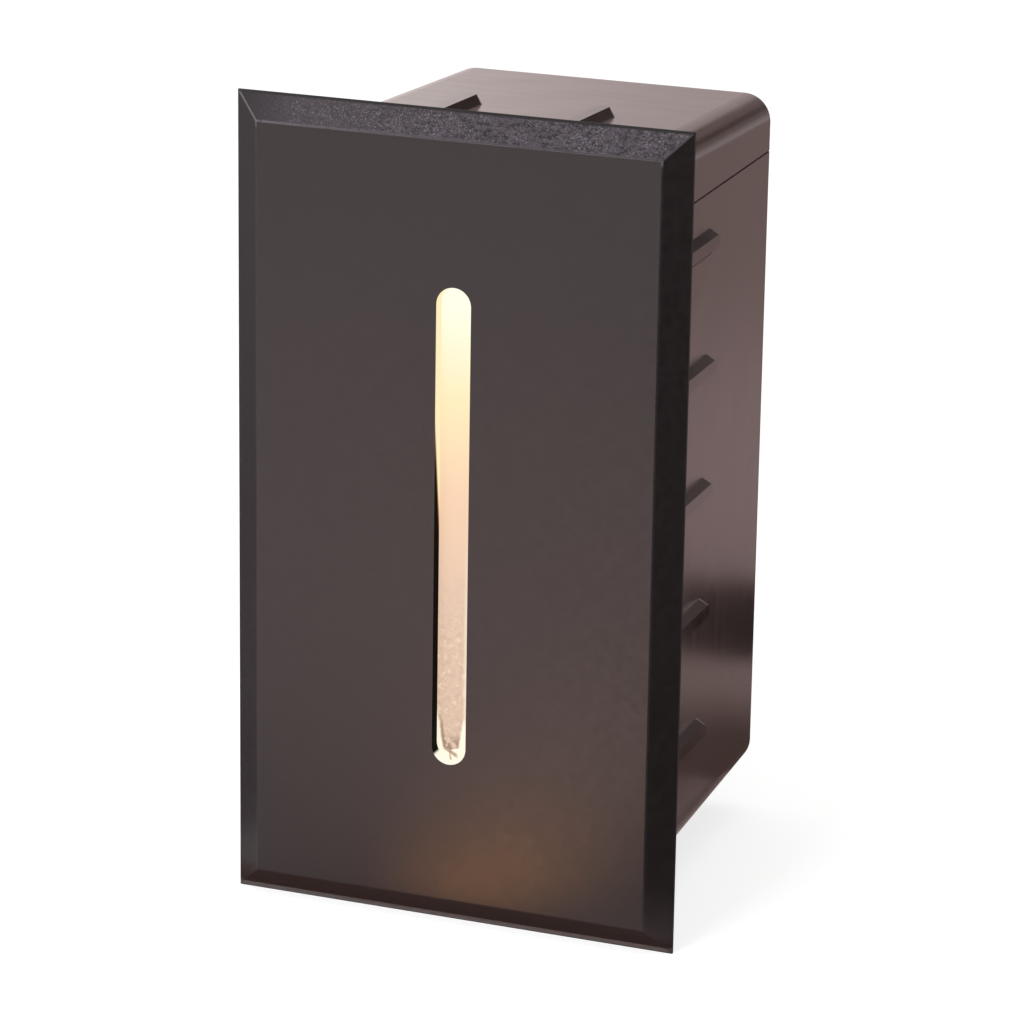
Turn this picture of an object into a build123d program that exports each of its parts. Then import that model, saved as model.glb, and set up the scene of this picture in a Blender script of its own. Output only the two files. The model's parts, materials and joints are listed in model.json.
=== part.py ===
from build123d import *
import os
from math import atan, degrees, sqrt

# Recessed step light: a bevelled faceplate with one lit vertical slot, clipped to a deep ribbed housing
# that holds the light engine, its driver, a lever terminal block and a cable gland.
#
# Frame, in millimetres: X runs across the plate, Y into the wall, Z up. The origin is the centre of the
# plane where the housing flange and the plate rim rest on the wall.

# ---- faceplate ----
plate_width = 70.0
plate_height = 124.0
plate_thickness = 2.9
bevel_inset = 4.0
edge_land = 0.4          # straight side of the plate next to the wall
edge_round = 0.25
slot_width = 5.4
slot_height = 73.0
slot_skin = 2.1          # metal thickness around the slot
pilot_skin = 1.4         # metal left in front of the plate's screw holes
rim_clearance = 0.3      # plate rim to housing flange

# ---- housing ----
plate_overlap_x = 7.45   # the plate covers the housing by this much at each side
plate_overlap_z = 5.15   # and at top and bottom
housing_depth = 62.6
housing_draft_x = 1.17   # how much each side draws in from front to back
housing_draft_z = 2.2
housing_corner = 4.25
housing_wall = 1.8
back_edge_round = 1.0
flange_lap_x = 3.45
flange_lap_z = 2.1
flange_thickness = 0.85
flange_corner = 5.0
seal_thickness = 0.45
seal_edge = 0.35         # seal set back from the edges of the flange
pad_setback = 1.0        # raised middle of the plate's back, inside the seal

# ---- ribs outside the housing ----
rib_height = 1.5
rib_base_width = 3.7
rib_crest_width = 2.0
rib_reach = 33.4         # depth of the ribs' rounded ends
side_rib_pitch = 19.3
side_rib_count = 5
top_rib_spread = 10.6
top_rib_shift = -0.8
seam_below_top = 10.9    # mould line on the housing's sides
seam_width = 0.35
seam_depth = 0.2

# ---- window behind the slot ----
window_lap = 4.8
window_thickness = 1.5
window_boss_lap = 1.1
window_boss_gap = 0.1
gasket_thickness = 0.5
frame_side = 6.0
frame_end = 4.0
frame_lip = 1.8
frame_clearance = 0.2
frame_boss_radius = 2.3
frame_boss_top = 1.5
frame_screw_inset_x = 1.8
frame_screw_inset_z = 0.6

# ---- spring clips on the plate ----
clip_thickness = 0.5
clip_width = 10.0
clip_from_end = 28.85    # from the housing's ends to the middle of each clip
clip_boss_radius = 2.75
clip_boss_top = 1.6
clip_boss_from_wall = 6.2
clip_bow_depth = 9.0
clip_reach = 17.5
clip_wall_gap = 0.1
clip_bend = 1.2
clip_knee_in = 1.6       # knee and tip set in from the bow
clip_tip_in = 2.6

# ---- chassis ----
chassis_front = 27.0
chassis_thickness = 1.5
chassis_clearance = 2.2
chassis_corner = 3.0
chassis_screw_length = 8.0
boss_radius = 3.4
boss_hole_depth = 9.0
boss_from_edge_x = 3.5
boss_from_edge_z = 4.0
boss_web = 2.0

# ---- light chamber and LED board ----
mouth_gap = 0.4
chamber_side_gap = 1.4
chamber_wall = 1.2
chamber_below_slot = 2.5
chamber_above_slot = 4.5
chamber_floor_bottom = 3.0   # cavity depth behind the mouth, at the bottom and at the top
chamber_floor_middle = 8.2
chamber_floor_top = 17.6
chamber_flange = 1.8
chamber_flange_lap = 6.6
chamber_screw_lap = 3.6
chamber_screw_from_end = 3.0
chamber_screw_bite = 3.0
board_thickness = 1.6
board_front_setback = 2.0
board_rear_gap = 0.5
board_screw_in = 1.8         # from the chamber's side, before the first LED and after the last
board_screw_before = 2.4
board_screw_after = 2.0
board_screw_bite = 2.0
pad_thickness = 0.3
pad_inset = 0.5
led_size = 3.0
led_height = 0.7
led_pitch = 3.5
led_count = 3
led_first = 6.6              # first LED behind the chamber mouth
sink_boss_gap = 5.55         # from the middle of the chassis screws
sink_base = 3.0
sink_top_gap = 2.2
sink_fin = 1.2
sink_fin_count = 7
sink_block = 6.0
sink_screw_in = 6.0
sink_screw_drop = 0.3
sink_screw_bite = 5.0

# ---- driver ----
driver_side_gap = 0.55       # from the chassis plate's sides to the driver's ears
driver_gland_gap = 2.8
driver_case_depth = 13.5
driver_wall = 1.5
driver_corner = 2.0
driver_ear = 5.5
driver_ear_height = 10.0
driver_ear_thickness = 2.0
driver_screw_tip = 0.8
driver_post = 1.0            # radius and height of the posts under the circuit board
driver_post_in_x = 3.0
driver_post_in_z = 5.0
circuit_thickness = 1.6
circuit_clearance = 0.7
capacitor_radius = 4.0
capacitor_height = 8.6
capacitor_round = 0.5
capacitor_from_bottom = 8.0
capacitor_from_side = 1.5
choke_radius = 5.0
choke_height = 8.4
choke_groove = 1.0
choke_flange = 1.4
choke_coil_setback = 0.3
output_header = (8.0, 4.4, 5.0)
output_from_top = 3.5
input_header = (12.0, 5.9, 6.0)
chip_height = 1.7
controller_size = (5.0, 4.0)
rectifier_size = (4.8, 4.0)
board_part_gap = 0.8         # between the parts up the middle of the circuit board

# ---- wires ----
wire_radius = 0.7
wire_clearance = 0.2
lead_spread = 1.6
lead_slack = 0.1
lead_drop = 5.0              # from the LED board down to the grommet
lead_rise = 6.0              # from the driver's top up to the grommet
lead_bend = 2.0
lead_window = 6.0            # gap in the chamber's flange below the grommet
feed_drop = 8.55             # from the input header down to the terminal block
feed_bend = 4.0
grommet_hole = 3.6
grommet_lip = 1.0
grommet_bore = 2.5

# ---- terminal block ----
terminal_depth = 9.5
terminal_half_width = 8.5
terminal_height = 20.0
terminal_above_pocket = 6.7
terminal_pole = 4.0
terminal_slot = 5.0
terminal_hole = 1.5
terminal_hole_depth = 8.0
terminal_ear = 5.5
terminal_ear_height = 7.0
terminal_ear_thickness = 2.0
terminal_pad_radius = 2.7
terminal_pad_height = 3.0
terminal_screw_bite = 0.6
contact_half_depth = 1.8
contact_below_top = 2.0
pivot_radius = 0.8
pivot_clearance = 0.05
pivot_from_face = 1.95
pivot_below_top = 4.6
pivot_bite = 1.2             # how far the pin runs into the block beside the lever slots
lever_width = 4.6
lever_heel = 2.0
lever_length = 8.4
lever_thickness = 1.6
lever_tab = 2.4
lever_tab_in = 0.5
lever_clearance = 0.4

# ---- gland ----
gland_from_bottom = 20.6
pocket_radius = 13.0
pocket_depth = 14.2
pocket_floor = 2.0
gland_thread = 6.0
gland_hex = 15.0
gland_hex_height = 4.0
gland_washer = 1.0
gland_washer_radius = 8.0
gland_collar_radius = 5.6
gland_collar_height = 5.0
gland_bore = 4.0
gland_inner_length = 8.5
gland_fit = 0.06
locknut_hex = 16.0
locknut_height = 4.0
seal_bore = 3.2
seal_radius = 4.55
seal_depth = 3.0
seal_stand = 0.6
nut_hex = 15.5
nut_corner_trim = 0.6        # taken off the nut's corners by its round outline
nut_chamfer = 1.5
nut_end_wall = 2.1
nut_mouth = 3.9
nut_gap = 0.2

# ---- fixings and screws ----
fixing_from_side = 7.38
fixing_below_top = 16.65
fixing_spacing_z = 48.0
fixing_radius = 2.25
fixing_pad = 4.2
fixing_pad_height = 0.6
screw_clearance = 0.05
screw_tip_gap = 0.3
screw_m25 = (1.25, 2.4, 1.8)     # shank radius, head radius, head height
screw_m3 = (1.5, 2.6, 1.9)
screw_m2 = (1.0, 1.6, 1.1)
recess_span = 1.15               # arms of the cross recess, in head radii
recess_arm = 0.28

# ---- making ----
join = 0.1                       # stretches of one solid reach this far into each other
past = 1.0                       # cutters run this far past a face

# ---- levels and places worked out from the sizes ----
plate_front = -plate_thickness
skin_back = plate_front + slot_skin
flange_front = -flange_thickness
seal_front = flange_front - seal_thickness
housing_front_half_x = plate_width / 2 - plate_overlap_x
housing_front_half_z = plate_height / 2 - plate_overlap_z
flange_half_x = housing_front_half_x + flange_lap_x
flange_half_z = housing_front_half_z + flange_lap_z
inner_back = housing_depth - housing_wall


def half_x(y):
    """Half width of the housing's outside at depth y."""
    return housing_front_half_x - housing_draft_x * y / housing_depth


def half_z(y):
    """Half height of the housing's outside at depth y."""
    return housing_front_half_z - housing_draft_z * y / housing_depth


seal_inner_x = half_x(0) - housing_wall + seal_edge
seal_inner_z = half_z(0) - housing_wall + seal_edge
clip_x = half_x(0) - housing_wall - clip_boss_from_wall
clip_z = half_z(0) - clip_from_end
fixing_x = half_x(housing_depth) - fixing_from_side
fixing_z = half_z(housing_depth) - fixing_below_top - fixing_spacing_z / 2

window_width = slot_width + 2 * window_lap
window_height = slot_height + 2 * window_lap
window_front = skin_back + gasket_thickness
window_back = window_front + window_thickness
window_boss_width = slot_width + 2 * window_boss_lap
window_boss_height = slot_height + 2 * window_boss_lap
frame_back = window_back + frame_lip
frame_screw_x = window_width / 2 + frame_screw_inset_x
frame_screw_z = window_height / 2 - frame_screw_inset_z

chassis_back = chassis_front + chassis_thickness
boss_x = half_x(chassis_back) - housing_wall - chassis_clearance - boss_from_edge_x
boss_z = half_z(chassis_back) - housing_wall - chassis_clearance - boss_from_edge_z

mouth = frame_back + mouth_gap
cavity_half = window_boss_width / 2 + chamber_side_gap
chamber_half = cavity_half + chamber_wall
cavity_bottom = -slot_height / 2 - chamber_below_slot
cavity_top = slot_height / 2 + chamber_above_slot
chamber_screw_x = chamber_half + chamber_screw_lap
chamber_screw_z = cavity_top - chamber_screw_from_end
board_front = mouth + board_front_setback
board_back = chassis_front - board_rear_gap
board_top = cavity_top + board_thickness
sink_bottom = board_top + pad_thickness
sink_top = half_z(chassis_front) - housing_wall - sink_top_gap
sink_half_width = boss_x - sink_boss_gap
sink_screw_x = sink_half_width - sink_screw_in
sink_screw_z = (sink_bottom + sink_base + sink_top) / 2 - sink_screw_drop
lead_y = chassis_front - grommet_lip - lead_bend - lead_slack
lead_z = cavity_top - lead_drop

gland_z = -half_z(housing_depth) + gland_from_bottom
pocket_front = housing_depth - pocket_depth
pocket_inner = pocket_front - pocket_floor
gland_hex_front = pocket_front + gland_washer
gland_hex_back = gland_hex_front + gland_hex_height
gland_collar_back = gland_hex_back + gland_collar_height
gland_inner_end = gland_hex_front - gland_inner_length
seal_start = gland_hex_back - seal_depth
seal_end = gland_collar_back + seal_stand
nut_front = gland_hex_back + nut_gap
nut_back = seal_end + gland_fit + nut_end_wall

terminal_bottom = gland_z + pocket_radius + housing_wall + terminal_above_pocket
terminal_top = terminal_bottom + terminal_height
terminal_front = inner_back - terminal_depth
terminal_ear_x = terminal_half_width + terminal_ear / 2
terminal_ear_z = (terminal_bottom + terminal_top) / 2
terminal_wire_y = inner_back - terminal_depth / 3
pivot_y = terminal_front + pivot_from_face
pivot_z = terminal_top - pivot_below_top
pivot_reach = terminal_pole + terminal_slot / 2 + pivot_bite
lever_front = -pivot_from_face - lever_thickness / 2     # of the closed lever, from its pivot

cover_back = chassis_back + driver_wall
case_back = cover_back + driver_case_depth
case_inner_back = case_back - driver_wall
driver_half_width = boss_x + boss_from_edge_x - driver_side_gap - driver_ear
driver_top = lead_z - lead_rise
driver_bottom = gland_z + locknut_hex / sqrt(3) + driver_gland_gap
driver_middle = (driver_top + driver_bottom) / 2
driver_ear_x = driver_half_width + driver_ear / 2
circuit_front = cover_back + driver_post
circuit_back = circuit_front + circuit_thickness
circuit_half = driver_half_width - driver_wall - circuit_clearance
output_z = driver_top - driver_wall - output_from_top
input_z = terminal_top + feed_drop
capacitor_z = driver_bottom + capacitor_from_bottom
controller_z = capacitor_z + capacitor_radius + board_part_gap + controller_size[1] / 2
choke_z = controller_z + controller_size[1] / 2 + board_part_gap + choke_radius
rectifier_z = choke_z + choke_radius + board_part_gap + rectifier_size[1] / 2
capacitor_x = circuit_half - capacitor_radius - capacitor_from_side


# ---- helpers ----
def depth_plane(y):
    """Plane parallel to the wall at depth y: its x is X, its y is Z, and its normal faces the room."""
    return Plane(origin=(0, y, 0), x_dir=(1, 0, 0), z_dir=(0, -1, 0))


def slab(outline, y_front, y_back):
    """Solid with a wall-parallel outline, between two depths."""
    return extrude(depth_plane(y_back) * outline, amount=y_back - y_front)


def rod(x, z, radius, y_front, y_back):
    """Round bar along Y."""
    return slab(Pos(x, z) * Circle(radius), y_front, y_back)


def side_slab(outline, x_low, x_high):
    """Solid with an outline drawn in Y and Z, between two X values."""
    return extrude(Plane.YZ.offset(x_low) * outline, amount=x_high - x_low)


def block(x_range, y_range, z_range):
    """Box between two corners."""
    size = [high - low for low, high in (x_range, y_range, z_range)]
    middle = [(low + high) / 2 for low, high in (x_range, y_range, z_range)]
    return Pos(*middle) * Box(*size)


def upright_slot(height, width):
    """Slot outline with round ends, standing upright."""
    return SlotOverall(height, width, rotation=90)


def corners(x, z):
    """The four mirrored places of one corner."""
    return [(x, z), (-x, z), (x, -z), (-x, -z)]


def screw(size, length):
    """Cross-recess screw: head above the local XY plane, shank below it."""
    shank, head, height = size
    body = Pos(0, 0, height / 2) * Cylinder(head, height)
    body = fillet(body.edges().group_by(Axis.Z)[-1], height / 3)
    span = head * recess_span
    arm = head * recess_arm
    recess = Box(span, arm, height) + Box(arm, span, height)
    body -= Pos(0, 0, height) * recess
    return body + Pos(0, 0, -length / 2) * Cylinder(shank, length)


def set_screw(size, length, place, out):
    """Screw seated at a place, with its head on the side that out points to."""
    return Plane(origin=place, z_dir=out) * screw(size, length)


def wire(points, bend):
    """Round wire along straight runs and arcs."""
    path = FilletPolyline(*points, radius=bend)
    start = Plane(origin=path @ 0, z_dir=path % 0)
    return sweep(start * Circle(wire_radius), path=path)


def hexagon(across_flats):
    return RegularPolygon(across_flats / 2, 6, major_radius=False)


def drafted(inset, y_front, y_back):
    """Housing-shaped solid, inset from the outside by a wall."""
    sections = []
    for y in (y_front, y_back):
        width = 2 * (half_x(y) - inset)
        height = 2 * (half_z(y) - inset)
        sections.append(depth_plane(y) * RectangleRounded(width, height, housing_corner - inset))
    return loft(sections, ruled=True)


# ---- faceplate group ----
def faceplate():
    wide = Rectangle(plate_width, plate_height)
    narrow = Rectangle(plate_width - 2 * bevel_inset, plate_height - 2 * bevel_inset)
    body = slab(wide, -edge_land, 0)
    body += loft([depth_plane(-edge_land) * wide, depth_plane(plate_front) * narrow], ruled=True)
    front_edges = body.edges().filter_by(lambda edge: edge.center().Y < -edge_land - edge_round)
    body = fillet(front_edges, edge_round)
    rim_x = 2 * (flange_half_x + rim_clearance)
    rim_z = 2 * (flange_half_z + rim_clearance)
    rim = RectangleRounded(rim_x, rim_z, flange_corner + rim_clearance)
    body -= slab(rim, skin_back, past)
    pad_x = 2 * (seal_inner_x - pad_setback)
    pad_z = 2 * (seal_inner_z - pad_setback)
    pad = RectangleRounded(pad_x, pad_z, housing_corner)
    body -= slab(rim - pad, seal_front, past)
    for x, z in corners(frame_screw_x, frame_screw_z):
        body += rod(x, z, frame_boss_radius, skin_back - join, frame_boss_top)
        body -= rod(x, z, screw_m25[0] + screw_clearance, plate_front + pilot_skin, frame_boss_top + past)
    for x, z in corners(clip_x, clip_z):
        body += rod(x, z, clip_boss_radius, skin_back - join, clip_boss_top)
        body -= rod(x, z, screw_m3[0] + screw_clearance, plate_front + pilot_skin, clip_boss_top + past)
    slot = slab(upright_slot(slot_height, slot_width), plate_front - past, past)
    return body - slot


def rim_seal():
    outer_x = 2 * (flange_half_x - seal_edge)
    outer_z = 2 * (flange_half_z - seal_edge)
    ring = RectangleRounded(outer_x, outer_z, flange_corner - seal_edge)
    ring -= RectangleRounded(2 * seal_inner_x, 2 * seal_inner_z, housing_corner - housing_wall)
    return slab(ring, seal_front, flange_front)


def slot_window():
    body = slab(upright_slot(window_height, window_width), window_front, window_back)
    boss = upright_slot(window_boss_height, window_boss_width)
    return body + slab(boss, skin_back + window_boss_gap, window_front)


def window_gasket():
    ring = upright_slot(window_height, window_width)
    ring -= upright_slot(window_boss_height + 2 * frame_clearance, window_boss_width + 2 * frame_clearance)
    return slab(ring, skin_back, window_front)


def window_frame():
    width = window_width + 2 * frame_side
    height = window_height + 2 * frame_end
    body = slab(RectangleRounded(width, height, frame_end), skin_back, frame_back)
    pocket = upright_slot(window_height + 2 * frame_clearance, window_width + 2 * frame_clearance)
    body -= slab(pocket, skin_back, window_back)
    body -= slab(upright_slot(window_boss_height, window_boss_width), skin_back, frame_back)
    for x, z in corners(frame_screw_x, frame_screw_z):
        body -= rod(x, z, frame_boss_radius + frame_clearance, skin_back, frame_boss_top)
        body -= rod(x, z, screw_m25[0] + frame_clearance, skin_back, frame_back)
    return body


def window_frame_screws():
    length = frame_back - plate_front - pilot_skin - screw_tip_gap
    places = corners(frame_screw_x, frame_screw_z)
    return [set_screw(screw_m25, length, (x, frame_back, z), (0, 1, 0)) for x, z in places]


def spring_clip():
    """Clip of the right side: a foot under its screw and a bowed leg that presses on the housing wall."""
    foot_y = clip_boss_top + clip_thickness / 2
    bow_x = half_x(clip_bow_depth) - housing_wall - clip_wall_gap - clip_thickness / 2
    foot = (clip_x - clip_boss_radius, foot_y)
    knee = (bow_x - clip_knee_in, foot_y)
    bow = (bow_x, clip_bow_depth)
    tip = (bow_x - clip_tip_in, clip_reach)
    strip = trace(FilletPolyline(foot, knee, bow, tip, radius=clip_bend), line_width=clip_thickness)
    leg = Pos(0, 0, -clip_width / 2) * extrude(strip, amount=clip_width)
    return leg - rod(clip_x, 0, screw_m3[0] + frame_clearance, 0, clip_bow_depth / 2)


def spring_clips():
    right = spring_clip()
    left = mirror(right, Plane.YZ)
    return [Pos(0, 0, z) * leg for leg in (right, left) for z in (clip_z, -clip_z)]


def clip_screws():
    seat = clip_boss_top + clip_thickness
    length = seat - plate_front - pilot_skin - screw_tip_gap
    return [set_screw(screw_m3, length, (x, seat, z), (0, 1, 0)) for x, z in corners(clip_x, clip_z)]


# ---- housing ----
def rib(across, out, wall_plane):
    """Rib with flared sides and round ends that stands square on a drafted wall."""
    rise = rib_height + housing_wall / 2
    flare = (rib_base_width - rib_crest_width) / 2 / rib_height
    root_width = rib_crest_width + 2 * flare * rise
    length = rib_reach + 2 * root_width
    end = rib_reach + flare * housing_wall / 2
    outline = Pos(across, end - length / 2) * SlotOverall(length, root_width, rotation=90)
    return extrude(wall_plane(out(0) - housing_wall / 2) * outline, amount=rise, taper=degrees(atan(flare)))


def side_plane(x):
    """Plane in the right wall: its x runs down, its y into the wall along the draft."""
    return Plane(origin=(x, 0, 0), x_dir=(0, 0, -1), z_dir=(housing_depth, housing_draft_x, 0))


def top_plane(z):
    """Plane in the top wall: its x is X, its y runs into the wall along the draft."""
    return Plane(origin=(0, 0, z), x_dir=(1, 0, 0), z_dir=(0, housing_draft_z, housing_depth))


def ribs():
    """All ribs of the housing, cut off at the flange."""
    parts = []
    middle = (side_rib_count - 1) / 2
    for number in range(side_rib_count):
        right = rib((number - middle) * side_rib_pitch, half_x, side_plane)
        parts += [right, mirror(right, Plane.YZ)]
    for side in (-1, 1):
        top = rib(top_rib_shift + side * top_rib_spread, half_z, top_plane)
        parts += [top, mirror(top, Plane.XY)]
    reach = plate_width + plate_height
    keep = block((-reach, reach), (-flange_thickness / 2, housing_depth / 2 + rib_reach), (-reach, reach))
    return [part & keep for part in parts]


def seam():
    """Fine mould line on the right side, following the draft."""
    z = half_z(0) - seam_below_top
    outline = Polygon(
        (half_x(0) - seam_depth, 0),
        (half_x(0) + past, 0),
        (half_x(housing_depth) + past, housing_depth),
        (half_x(housing_depth) - seam_depth, housing_depth),
        align=None,
    )
    return Pos(0, 0, z - seam_width / 2) * extrude(outline, amount=seam_width)


def fixing_places():
    heights = (fixing_z - fixing_spacing_z / 2, fixing_z + fixing_spacing_z / 2)
    return [(x, z) for x in (-fixing_x, fixing_x) for z in heights]


def housing():
    body = drafted(0, 0, housing_depth)
    body = fillet(body.edges().group_by(Axis.Y)[-1], back_edge_round)
    flange = RectangleRounded(2 * flange_half_x, 2 * flange_half_z, flange_corner)
    body += slab(flange, flange_front, 0)
    for part in ribs():
        body += part
    body -= drafted(housing_wall, flange_front - past, inner_back)
    right_seam = seam()
    body -= right_seam
    body -= mirror(right_seam, Plane.YZ)
    for x, z in corners(boss_x, boss_z):
        body += rod(x, z, boss_radius, chassis_back, inner_back + housing_wall / 2)
        web_x = sorted((x, x / boss_x * (half_x(chassis_back) - housing_wall / 2)))
        web_z = (z - boss_web / 2, z + boss_web / 2)
        web = block(web_x, (chassis_back, inner_back + housing_wall / 2), web_z)
        body += web & drafted(housing_wall / 2, chassis_back, inner_back + housing_wall / 2)
        body -= rod(x, z, screw_m3[0] + screw_clearance, chassis_back - past, chassis_back + boss_hole_depth)
    body += rod(0, gland_z, pocket_radius + housing_wall, pocket_inner, housing_depth - housing_wall / 2)
    body -= rod(0, gland_z, pocket_radius, pocket_front, housing_depth + past)
    body -= rod(0, gland_z, gland_thread + screw_clearance, pocket_inner - past, pocket_front + past)
    for x, z in fixing_places():
        body += rod(x, z, fixing_pad, inner_back - fixing_pad_height, inner_back + housing_wall / 2)
        body -= rod(x, z, fixing_radius, inner_back - fixing_pad_height - past, housing_depth + past)
    for x in (-terminal_ear_x, terminal_ear_x):
        top = inner_back - terminal_pad_height
        body += rod(x, terminal_ear_z, terminal_pad_radius, top, inner_back + housing_wall / 2)
        bottom = inner_back + terminal_screw_bite
        body -= rod(x, terminal_ear_z, screw_m25[0] + screw_clearance, top - past, bottom)
    return body


# ---- chassis and light engine ----
def chassis_plate():
    width = 2 * (boss_x + boss_from_edge_x)
    height = 2 * (boss_z + boss_from_edge_z)
    body = slab(RectangleRounded(width, height, chassis_corner), chassis_front, chassis_back)
    holes = [(x, z, screw_m3[0] + frame_clearance) for x, z in corners(boss_x, boss_z)]
    holes += [(x, z, screw_m25[0] + screw_clearance) for x, z in corners(chamber_screw_x, chamber_screw_z)]
    holes.append((0, lead_z, grommet_hole))
    for side in (-1, 1):
        holes.append((side * sink_screw_x, sink_screw_z, screw_m3[0] + frame_clearance))
        holes.append((side * driver_ear_x, driver_middle, screw_m3[0] + screw_clearance))
    for x, z, radius in holes:
        body -= rod(x, z, radius, chassis_front - past, chassis_back + past)
    return body


def chassis_screws():
    places = corners(boss_x, boss_z)
    seat = chassis_front
    return [set_screw(screw_m3, chassis_screw_length, (x, seat, z), (0, -1, 0)) for x, z in places]


def chamber_profile(wall):
    """Side outline of the chamber's hollow, or of its shell when wall is its thickness."""
    bottom = cavity_bottom - wall
    low = (mouth + chamber_floor_bottom + wall, bottom)
    mid = (mouth + chamber_floor_middle + wall, (cavity_bottom + cavity_top) / 2)
    high = (mouth + chamber_floor_top + wall, cavity_top)
    front_top = (mouth, cavity_top)
    front_bottom = (mouth, bottom)
    lines = [Line(front_bottom, low), ThreePointArc(low, mid, high), Line(high, front_top)]
    lines.append(Line(front_top, front_bottom))
    return make_face(lines)


def light_chamber():
    flange_front_y = chassis_front - chamber_flange
    shell = side_slab(chamber_profile(chamber_wall), -chamber_half, chamber_half)
    cheeks_z = (cavity_bottom - chamber_wall, cavity_top)
    cheeks = block((-chamber_half, chamber_half), (mouth, chassis_front), cheeks_z)
    inside = (-cavity_half, cavity_half)
    everything = (-plate_height, plate_height)
    cheeks -= block(inside, (mouth - past, chassis_front + past), everything)
    flange_z = (-chamber_screw_z - chamber_screw_from_end, cavity_top)
    flange_half = chamber_half + chamber_flange_lap
    flange = block((-flange_half, flange_half), (flange_front_y, chassis_front), flange_z)
    flange -= block(inside, (mouth, chassis_front + past), (lead_z - lead_window, plate_height))
    body = shell + cheeks + flange
    body -= side_slab(chamber_profile(0), -cavity_half, cavity_half)
    for x, z in corners(chamber_screw_x, chamber_screw_z):
        body -= rod(x, z, screw_m25[0] + frame_clearance, flange_front_y - past, chassis_front + past)
    return body


def chamber_screws():
    seat = chassis_front - chamber_flange
    places = corners(chamber_screw_x, chamber_screw_z)
    length = chamber_flange + chamber_screw_bite
    return [set_screw(screw_m25, length, (x, seat, z), (0, -1, 0)) for x, z in places]


def board_screw_places():
    first = mouth + led_first
    last = first + (led_count - 1) * led_pitch
    x = cavity_half - board_screw_in
    return [(-x, first - board_screw_before), (x, last + board_screw_after)]


def led_board():
    body = block((-chamber_half, chamber_half), (board_front, board_back), (cavity_top, board_top))
    for x, y in board_screw_places():
        body -= Pos(x, y, board_top) * Cylinder(screw_m2[0] + frame_clearance, 4 * board_thickness)
    return body


def led_packages():
    leds = []
    for number in range(led_count):
        y = mouth + led_first + number * led_pitch
        package = Pos(0, y, cavity_top - led_height / 2) * Box(led_size, led_size, led_height)
        leds.append(chamfer(package.edges().group_by(Axis.Z)[0], led_height / 3))
    return leds


def led_board_screws():
    length = board_thickness + pad_thickness + board_screw_bite
    return [set_screw(screw_m2, length, (x, y, cavity_top), (0, 0, -1)) for x, y in board_screw_places()]


def thermal_pad():
    side = chamber_half - pad_inset
    depth = (board_front + pad_inset, board_back - pad_inset)
    body = block((-side, side), depth, (board_top, sink_bottom))
    for x, y in board_screw_places():
        body -= Pos(x, y, board_top) * Cylinder(screw_m2[0] + frame_clearance, 4 * board_thickness)
    return body


def heat_sink():
    wide = (-sink_half_width, sink_half_width)
    body = block(wide, (board_front, chassis_front), (sink_bottom, sink_bottom + sink_base))
    body += block(wide, (chassis_front - sink_block, chassis_front), (sink_bottom, sink_top))
    step = (2 * sink_half_width - sink_fin) / (sink_fin_count - 1)
    for number in range(sink_fin_count):
        x = -sink_half_width + number * step
        body += block((x, x + sink_fin), (board_front, chassis_front), (sink_bottom, sink_top))
    for x in (-sink_screw_x, sink_screw_x):
        hole_front = chassis_front - sink_screw_bite - screw_tip_gap
        body -= rod(x, sink_screw_z, screw_m3[0] + screw_clearance, hole_front, chassis_front + past)
    for x, y in board_screw_places():
        hole = Cylinder(screw_m2[0] + screw_clearance, 2 * (board_screw_bite + screw_tip_gap))
        body -= Pos(x, y, sink_bottom) * hole
    return body


def heat_sink_screws():
    seat = chassis_back
    length = chassis_thickness + sink_screw_bite
    places = [(x, seat, sink_screw_z) for x in (-sink_screw_x, sink_screw_x)]
    return [set_screw(screw_m3, length, place, (0, 1, 0)) for place in places]


def lead_grommet():
    lip = grommet_hole + grommet_lip
    body = rod(0, lead_z, lip, chassis_front - grommet_lip, chassis_back + grommet_lip)
    waist = rod(0, lead_z, lip + past, chassis_front, chassis_back)
    waist -= rod(0, lead_z, grommet_hole, chassis_front - past, chassis_back + past)
    front = chassis_front - grommet_lip - past
    back = chassis_back + grommet_lip + past
    return body - waist - rod(0, lead_z, grommet_bore, front, back)


def led_leads():
    """Two wires from the LED board through the grommet to the driver's output header."""
    header_top = output_z + output_header[2] / 2
    header_y = circuit_back + output_header[1] / 2
    leads = []
    for x in (-lead_spread, lead_spread):
        rise = [(x, lead_y, cavity_top), (x, lead_y, lead_z)]
        drop = [(x, header_y, lead_z), (x, header_y, header_top)]
        leads.append(wire(rise + drop, lead_bend))
    return leads


# ---- driver ----
def ear_block(y_front, y_back):
    """The driver's two fixing ears between two depths."""
    reach = driver_half_width + driver_ear
    height = (driver_middle - driver_ear_height / 2, driver_middle + driver_ear_height / 2)
    body = block((-reach, reach), (y_front, y_back), height)
    for x in (-driver_ear_x, driver_ear_x):
        body -= rod(x, driver_middle, screw_m3[0] + frame_clearance, y_front - past, y_back + past)
    return body


def driver_cover():
    size = Rectangle(2 * driver_half_width, driver_top - driver_bottom)
    body = slab(Pos(0, driver_middle) * size, chassis_back, cover_back)
    body += ear_block(chassis_back, cover_back)
    post_x = circuit_half - driver_post_in_x
    for x in (-post_x, post_x):
        for z in (driver_bottom + driver_post_in_z, driver_top - driver_post_in_z):
            body += rod(x, z, driver_post, cover_back - join, circuit_front)
    return body


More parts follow.
